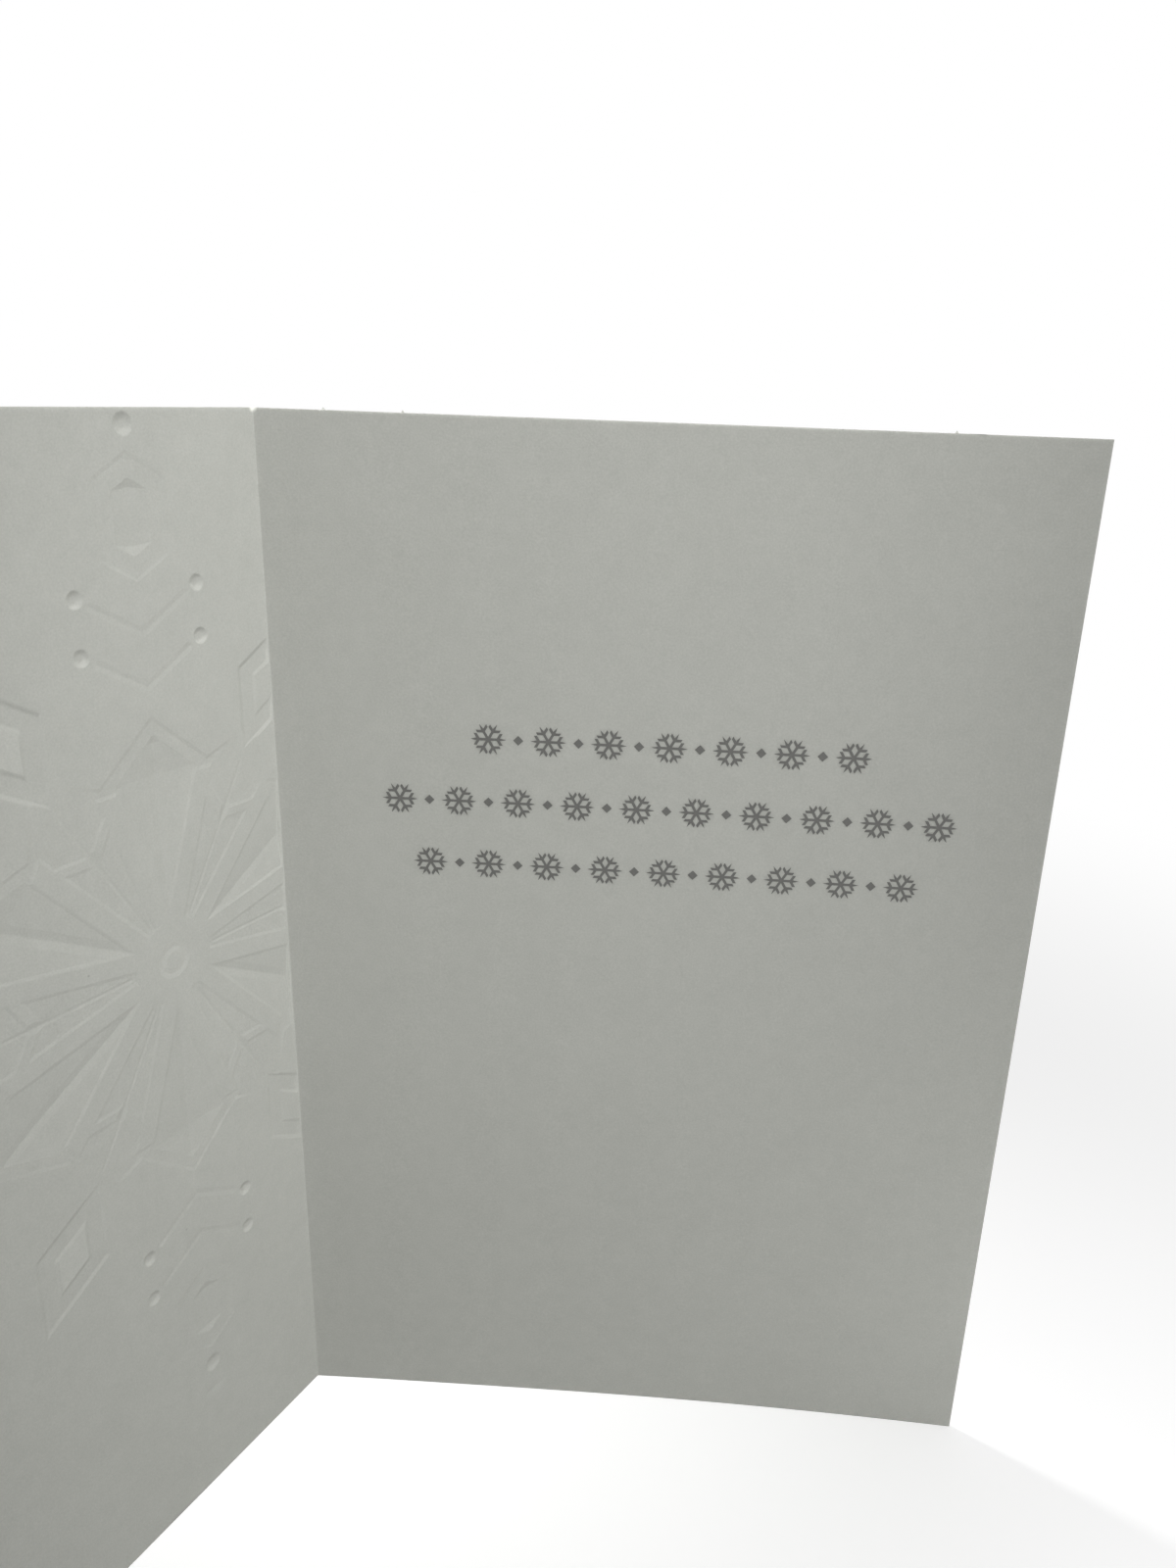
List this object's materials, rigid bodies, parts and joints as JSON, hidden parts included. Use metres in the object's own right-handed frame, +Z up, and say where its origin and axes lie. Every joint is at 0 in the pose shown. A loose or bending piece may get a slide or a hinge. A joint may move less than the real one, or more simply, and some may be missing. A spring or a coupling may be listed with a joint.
{
  "type": "greeting card",
  "caption": "Folded greeting card of pale card stock, standing open, with a large snow crystal embossed in its front panel.",
  "frame": {"origin": "foot of the fold, in the middle of the stock's thickness, on the surface that the card stands on", "axes": "+Z up along the fold, +X from the fold along the back panel, and the front panel comes forward to -Y and -X, so the card opens towards -Y"},
  "size_m": [0.1754, 0.1079, 0.1781],
  "materials": {
    "card_stock": null
  },
  "bodies": {
    "root": {"card": "card_stock"}
  },
  "joints": []
}
